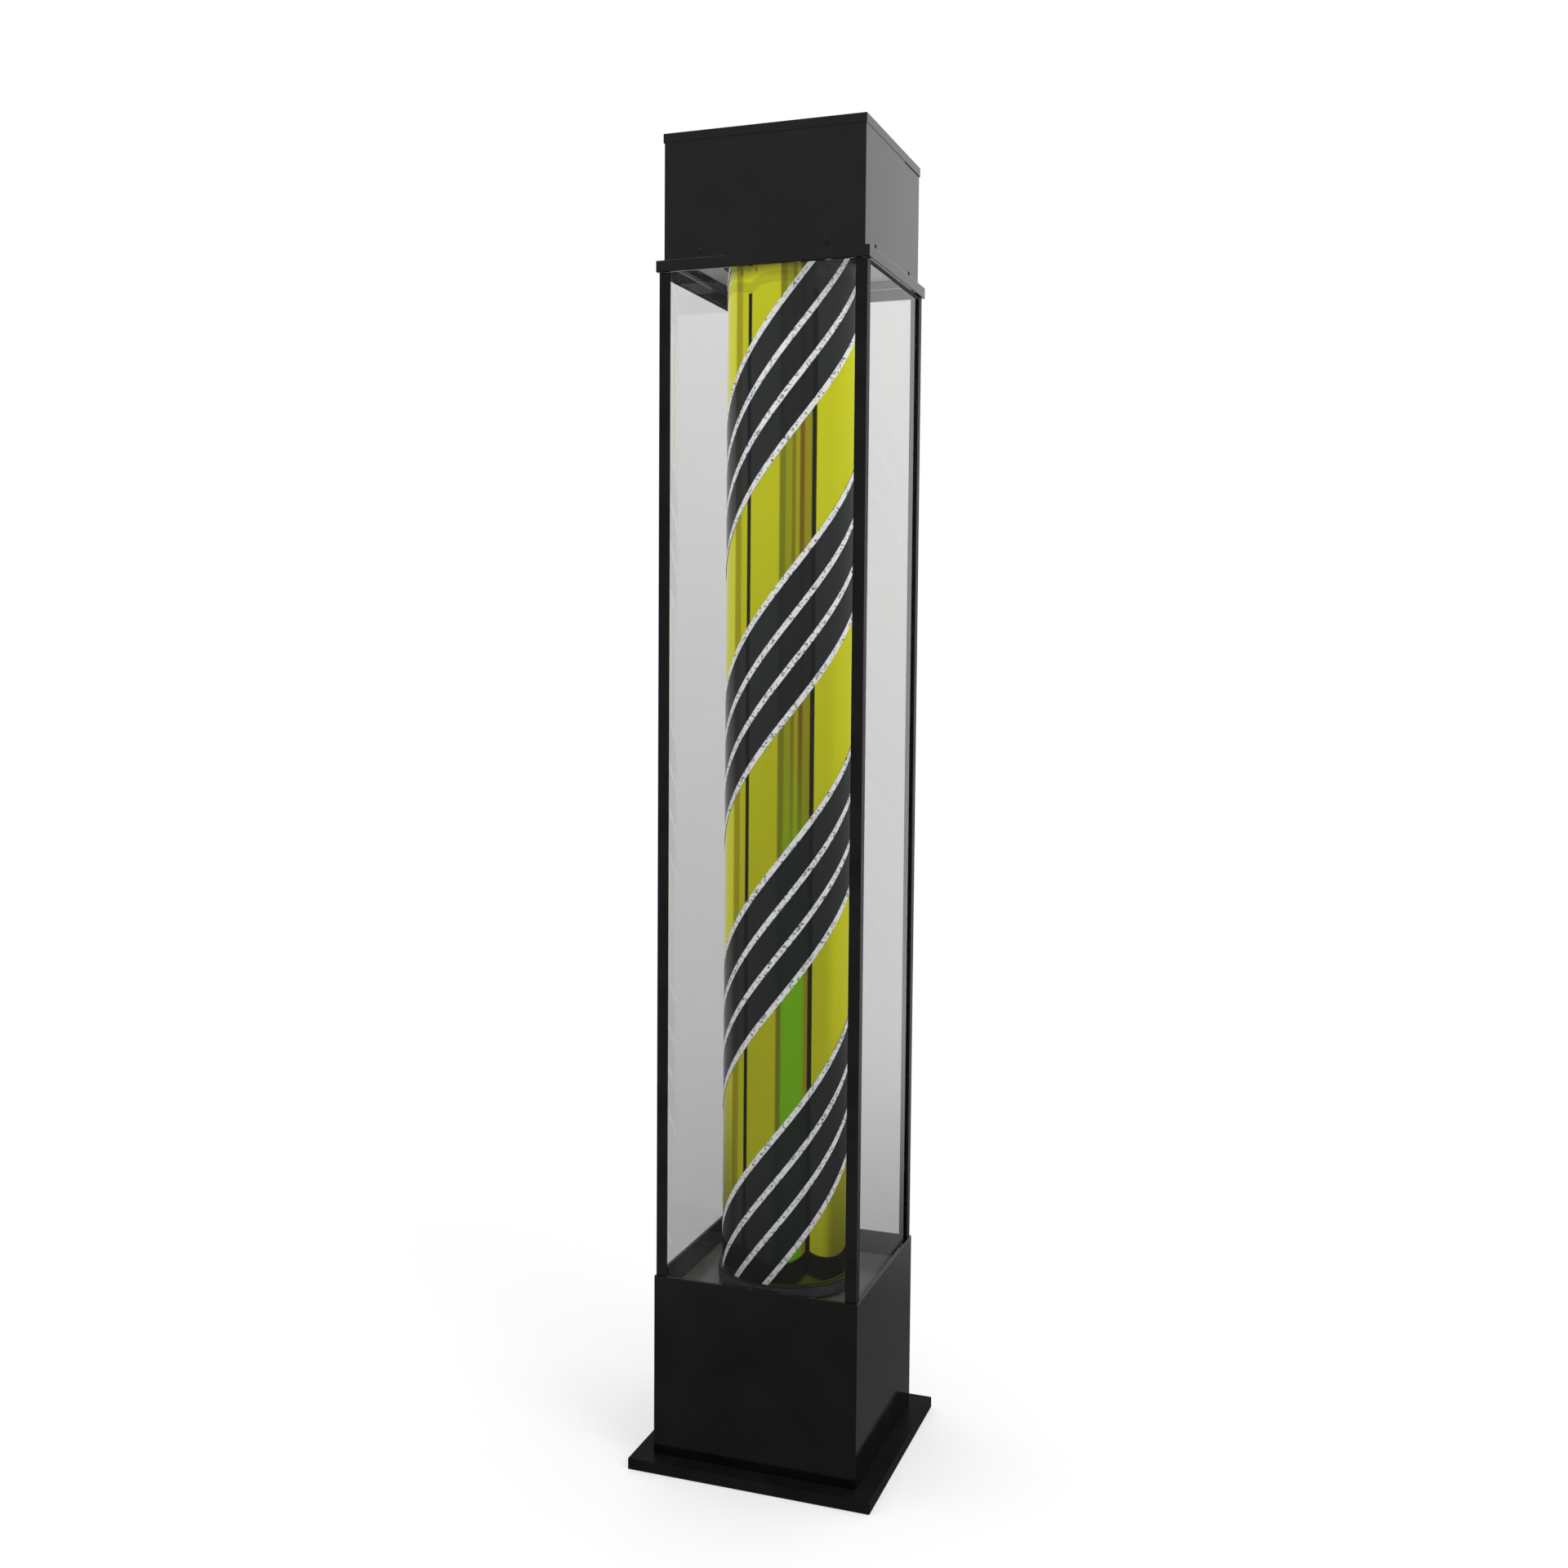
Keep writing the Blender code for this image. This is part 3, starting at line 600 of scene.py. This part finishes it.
for start in range(BANDS):
    foot = BAND_FOOT + start * HELIX_LEAD / BANDS
    band = wound_strip(f"band_vinyl_{start + 1}", VINYL_RADIUS, VINYL_THICK, foot, BAND_RISE,
                       VINYL)
    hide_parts(f"helix_band_{start + 1}")
    for i in range(LINES):
        wound_strip(f"silver_line_{start + 1}_{i + 1}", TAPE_RADIUS, TAPE_THICK,
                    foot + i * LINE_STEP, LINE_RISE, GLITTER)
print("two bands, eight silver lines,", round(LINE_RISE * 1000, 1), "mm tall each")

# %% [markdown]
# ## The head's screws
#
# Eight small black pan-head screws hold the ceiling inside the head. One is modelled from a disc:
# its rim bevelled into a dome, and a cross recess sunk with two crossed bars. The eight on the head
# are copies with their own meshes, each turned to face out of its own side.

# %% Screws
PAN_RADIUS = 0.0029
PAN_FOOT = 0.0003
PAN_TALL = 0.0016
DOME_ROUND = 0.0009
RECESS_FOOT = 0.0007
RECESS_SIZE = (0.0031, 0.0006, 0.0018)
SCREW_TURN = 0.4
SIDES = {"front": 0.0, "right": math.pi / 2, "back": math.pi, "left": -math.pi / 2}
HOUSING_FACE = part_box("top_housing")[1].x


def outward(turn):
    """The way that a side faces, when the front side is turned by that angle."""
    return Vector((math.sin(turn), -math.cos(turn), 0))


def cross_bar(turn):
    start_clean()
    bpy.ops.mesh.primitive_cube_add(size=1, location=(0, 0, RECESS_FOOT + RECESS_SIZE[2] / 2))
    bar = bpy.context.object
    bpy.ops.object.mode_set(mode="EDIT")
    bpy.ops.transform.resize(value=RECESS_SIZE)
    bpy.ops.transform.rotate(value=turn, orient_axis="Z", center_override=(0, 0, 0))
    bpy.ops.object.mode_set(mode="OBJECT")
    return bar


def pan_head():
    """A pan-head screw facing +Z, its seat at the origin."""
    start_clean()
    bpy.ops.mesh.primitive_cylinder_add(vertices=32, radius=PAN_RADIUS, depth=PAN_TALL,
                                        location=(0, 0, PAN_FOOT + PAN_TALL / 2))
    head = bpy.context.object
    bpy.ops.object.mode_set(mode="EDIT")
    select_faces(head, lambda centre, normal: normal.z > 0.9)
    bpy.ops.mesh.bevel(offset=DOME_ROUND, segments=5, affect="EDGES")
    bpy.ops.object.mode_set(mode="OBJECT")
    for turn in (0.0, math.pi / 2):
        bar = cross_bar(turn)
        cut = head.modifiers.new("recess", "BOOLEAN")
        cut.operation = "DIFFERENCE"
        cut.solver = "EXACT"
        cut.object = bar
        start_clean()
        head.select_set(True)
        bpy.context.view_layer.objects.active = head
        apply_modifiers(head)
        bpy.data.objects.remove(bar)
    return head


pattern = pan_head()
for side, turn in SIDES.items():
    for i in (1, 2):
        node = f"head_screw_{side}_{i}"
        low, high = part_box(node)
        seat = (low + high) / 2
        out = outward(turn)
        seat += out * (HOUSING_FACE - abs(seat.dot(out)))
        screw = pattern.copy()
        screw.data = pattern.data.copy()
        bpy.context.scene.collection.objects.link(screw)
        screw.rotation_euler = (math.pi / 2, SCREW_TURN * i, turn)
        screw.location = seat
        finished(screw, f"pan_screw_{side}_{i}", "case", BLACK)
        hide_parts(node)
bpy.data.objects.remove(pattern)
print("eight screws")

# %% [markdown]
# ## The painted shadow strip under the collar
#
# The two side panels slide in under the collar, whose underside shows as a thin line of shade right
# above them. A strip of matt black is put there as a painted shadow for that line. A strip is a cube
# pulled out to length, with its edges rounded, turned to face out of its own side. Mirrors don't see
# it, so it draws no line in the film.

# %% Painted shadow strip
SHADOW_STRIP_TALL = 0.0036
SHADOW_STRIP_DEEP = 0.0022
SHADOW_STRIP_ROUND = 0.0006
SHADOW_STRIP_PLAY = 0.0006
SHADOW_STRIP_LENGTH = 2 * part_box("post_front_right")[0].x - SHADOW_STRIP_PLAY
SHADOW_STRIP_TOP = COLLAR_FOOT - HAIRLINE
PANEL_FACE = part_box("panel_right")[1].x

# painted shadow: a matt black strip right under the collar, where its underside is in shade
for side in ("right", "left"):
    start_clean()
    bpy.ops.mesh.primitive_cube_add(size=1, location=(0, 0, 0))
    strip = bpy.context.object
    bpy.ops.object.mode_set(mode="EDIT")
    bpy.ops.transform.resize(value=(SHADOW_STRIP_LENGTH, SHADOW_STRIP_DEEP, SHADOW_STRIP_TALL))
    bpy.ops.mesh.bevel(offset=SHADOW_STRIP_ROUND, segments=3, affect="EDGES")
    bpy.ops.object.mode_set(mode="OBJECT")
    strip.rotation_euler = (0, 0, SIDES[side])
    strip.location = outward(SIDES[side]) * (PANEL_FACE + SHADOW_STRIP_DEEP / 2)
    strip.location.z = SHADOW_STRIP_TOP - SHADOW_STRIP_TALL / 2
    finished(strip, f"painted_shadow_strip_{side}", "case", SHADOW_STRIP_BLACK)
    strip.visible_glossy = False
print("two shadow_strips,", round(SHADOW_STRIP_TALL * 1000, 1), "mm tall")

# %% [markdown]
# ## Floor
#
# A plain white floor just under the base plate. It gives off part of its own light, so that it stays
# white to the horizon and still takes a soft shadow.

# %% Floor
FLOOR_LEVEL = -0.0003
FLOOR_SIZE = 40

start_clean()
bpy.ops.mesh.primitive_plane_add(size=FLOOR_SIZE, location=(0, 0, FLOOR_LEVEL))
floor = bpy.context.object
floor.name = "floor"
floor.visible_glossy = False
paper, paper_tree, paper_shader = new_material("matt_white_studio_floor")
set_values(paper_shader, Base_Color=(0.60, 0.60, 0.60, 1), Roughness=1.0, Specular_IOR_Level=0.0,
           Emission_Color=(1, 1, 1, 1), Emission_Strength=0.405)
floor.data.materials.append(paper)
print("floor", FLOOR_SIZE, "m wide")

# %% [markdown]
# ## What mirrors see all round
#
# The surround is white and gives soft light from everywhere. A glossy object only shows its shape by
# what it mirrors, so mirrored rays see something else: a room. ROUND goes round that room from the
# back over the left, the front and the right to the back again, in degrees from straight ahead of
# the object's front. Its grey, brown and violet streaks are what the film shows as upright lines,
# and a green glow lies low in front of it.
#
# Only a ray that has passed something clear sees the streaks and the glow, so the drum shows them
# and the black coats outside don't pick up their colours. The coats mirror a plain grey front and a
# white back. For both, the room is dimmer towards the ground. This split is a trick of the light too.

# %% Surround
ROUND = ((-180, "#ffffff"), (-121, "#f2f2f2"), (-101, "#f2f2f2"), (-98, "#bdb28c"), (-84, "#bdb28c"),
         (-80, "#e4e4e4"), (-7, "#e4e4e4"), (-4, "#909090"), (4, "#909090"), (6, "#b2b2b2"),
         (15, "#b2b2b2"), (17, "#928791"), (21, "#928791"), (23, "#bfbbbf"), (28, "#bfbbbf"),
         (30, "#84617f"), (36, "#84617f"), (38, "#ada4a0"), (50, "#ada4a0"), (58, "#eeeeee"),
         (90, "#eeeeee"), (120, "#f4f4f4"), (180, "#ffffff"))
PLAIN_FRONT = "#e4e4e4"
PLAIN_BACK = "#ffffff"
GREEN_GLOW = "#8fe09a"

# A direction's height is -1 straight down, 0 level and 1 straight up. Each fade starts at the first
# height or angle and ends at the second.
GLOW_LEFT = (math.radians(1), math.radians(6))
GLOW_RIGHT = (math.radians(38), math.radians(46))
GLOW_BELOW = (-0.04, -0.21)
FRONT_TO_BACK = (-0.2, 0.3)
GROUND_BEHIND = (-0.37, -0.20)
GROUND_AHEAD = (-0.40, -0.29)
WALL_AHEAD = (-0.20, 0.08)


def soft_fade(tree, value, ends, low=0, high=1):
    """Go smoothly from low to high as a value goes from the first end to the second."""
    return add(tree, "ShaderNodeMapRange", {"Value": value, "From Min": ends[0], "From Max": ends[1],
                                            "To Min": low, "To Max": high},
               interpolation_type="SMOOTHSTEP").outputs[0]


def streaks(tree, angle, height):
    """The room's colours by direction, with the green glow low in front."""
    ramp = add(tree, "ShaderNodeValToRGB", {"Fac": spread(tree, angle, 0, 1, -math.pi, math.pi)})
    stops = ramp.color_ramp.elements
    while len(stops) < len(ROUND):
        stops.new(1.0)
    for stop, (degrees, code) in zip(stops, ROUND):
        stop.position = (degrees + 180) / 360
        stop.color = colour(code)
    across = maths(tree, "MULTIPLY", soft_fade(tree, angle, GLOW_LEFT),
                   soft_fade(tree, angle, GLOW_RIGHT, 1, 0))
    green = maths(tree, "MULTIPLY", across, soft_fade(tree, height, GLOW_BELOW))
    return mix_colours(tree, green, ramp.outputs[0], colour(GREEN_GLOW))


def brightness(tree, back, height):
    """How bright the room is at each height, in front of the object and behind it."""
    wall = spread(tree, height, 0.76, 0.97, *WALL_AHEAD)
    ahead = maths(tree, "MULTIPLY", wall, soft_fade(tree, height, GROUND_AHEAD, 0.42, 1.0))
    behind = soft_fade(tree, height, GROUND_BEHIND, 0.14, 1.0)
    return add(tree, "ShaderNodeMix", {"Factor": back, 2: ahead, 3: behind}).outputs[0]


def surround():
    world = bpy.data.worlds.new("white_surround")
    world.use_nodes = True
    tree = world.node_tree
    path = add(tree, "ShaderNodeLightPath")
    passed = maths(tree, "GREATER_THAN", path.outputs["Transparent Depth"], 0.5)
    place = add(tree, "ShaderNodeTexCoord").outputs["Generated"]
    way = add(tree, "ShaderNodeSeparateXYZ", {"Vector": place})
    height = way.outputs["Z"]
    ahead = maths(tree, "MULTIPLY", way.outputs["Y"], -1.0)
    angle = maths(tree, "ARCTAN2", way.outputs["X"], ahead)
    back = soft_fade(tree, way.outputs["Y"], FRONT_TO_BACK)
    plain = mix_colours(tree, back, colour(PLAIN_FRONT), colour(PLAIN_BACK))
    room = mix_colours(tree, passed, plain, streaks(tree, angle, height))
    mirrored = dimmed(tree, room, brightness(tree, back, height))
    seen = mix_colours(tree, path.outputs["Is Glossy Ray"], (1, 1, 1, 1), mirrored)
    tree.links.new(seen, tree.nodes["Background"].inputs["Color"])
    return world


bpy.context.scene.world = surround()
bpy.context.scene.view_settings.view_transform = "Standard"
print("surround with", len(ROUND), "stops")

# %% [markdown]
# ## One soft box
#
# A single large lamp stands high at the front right. It lifts the side of the object a little and
# gives the floor its faint shadow. Mirrors don't see it, since it would leave a hot spot in the film.

# %% Soft box
def soft_box(name, place, target, size, watts):
    lamp = bpy.data.objects.new(name, bpy.data.lights.new(name, "AREA"))
    lamp.data.shape = "RECTANGLE"
    lamp.data.size, lamp.data.size_y = size
    lamp.data.energy = watts
    lamp.location = place
    lamp.rotation_euler = (Vector(target) - Vector(place)).to_track_quat("-Z", "Y").to_euler()
    lamp.visible_glossy = False
    bpy.context.scene.collection.objects.link(lamp)


soft_box("key_softbox", place=(2.4, -1.6, 2.6), target=(0, 0, 0.8), size=(1.4, 1.4), watts=25)
print("one soft box")
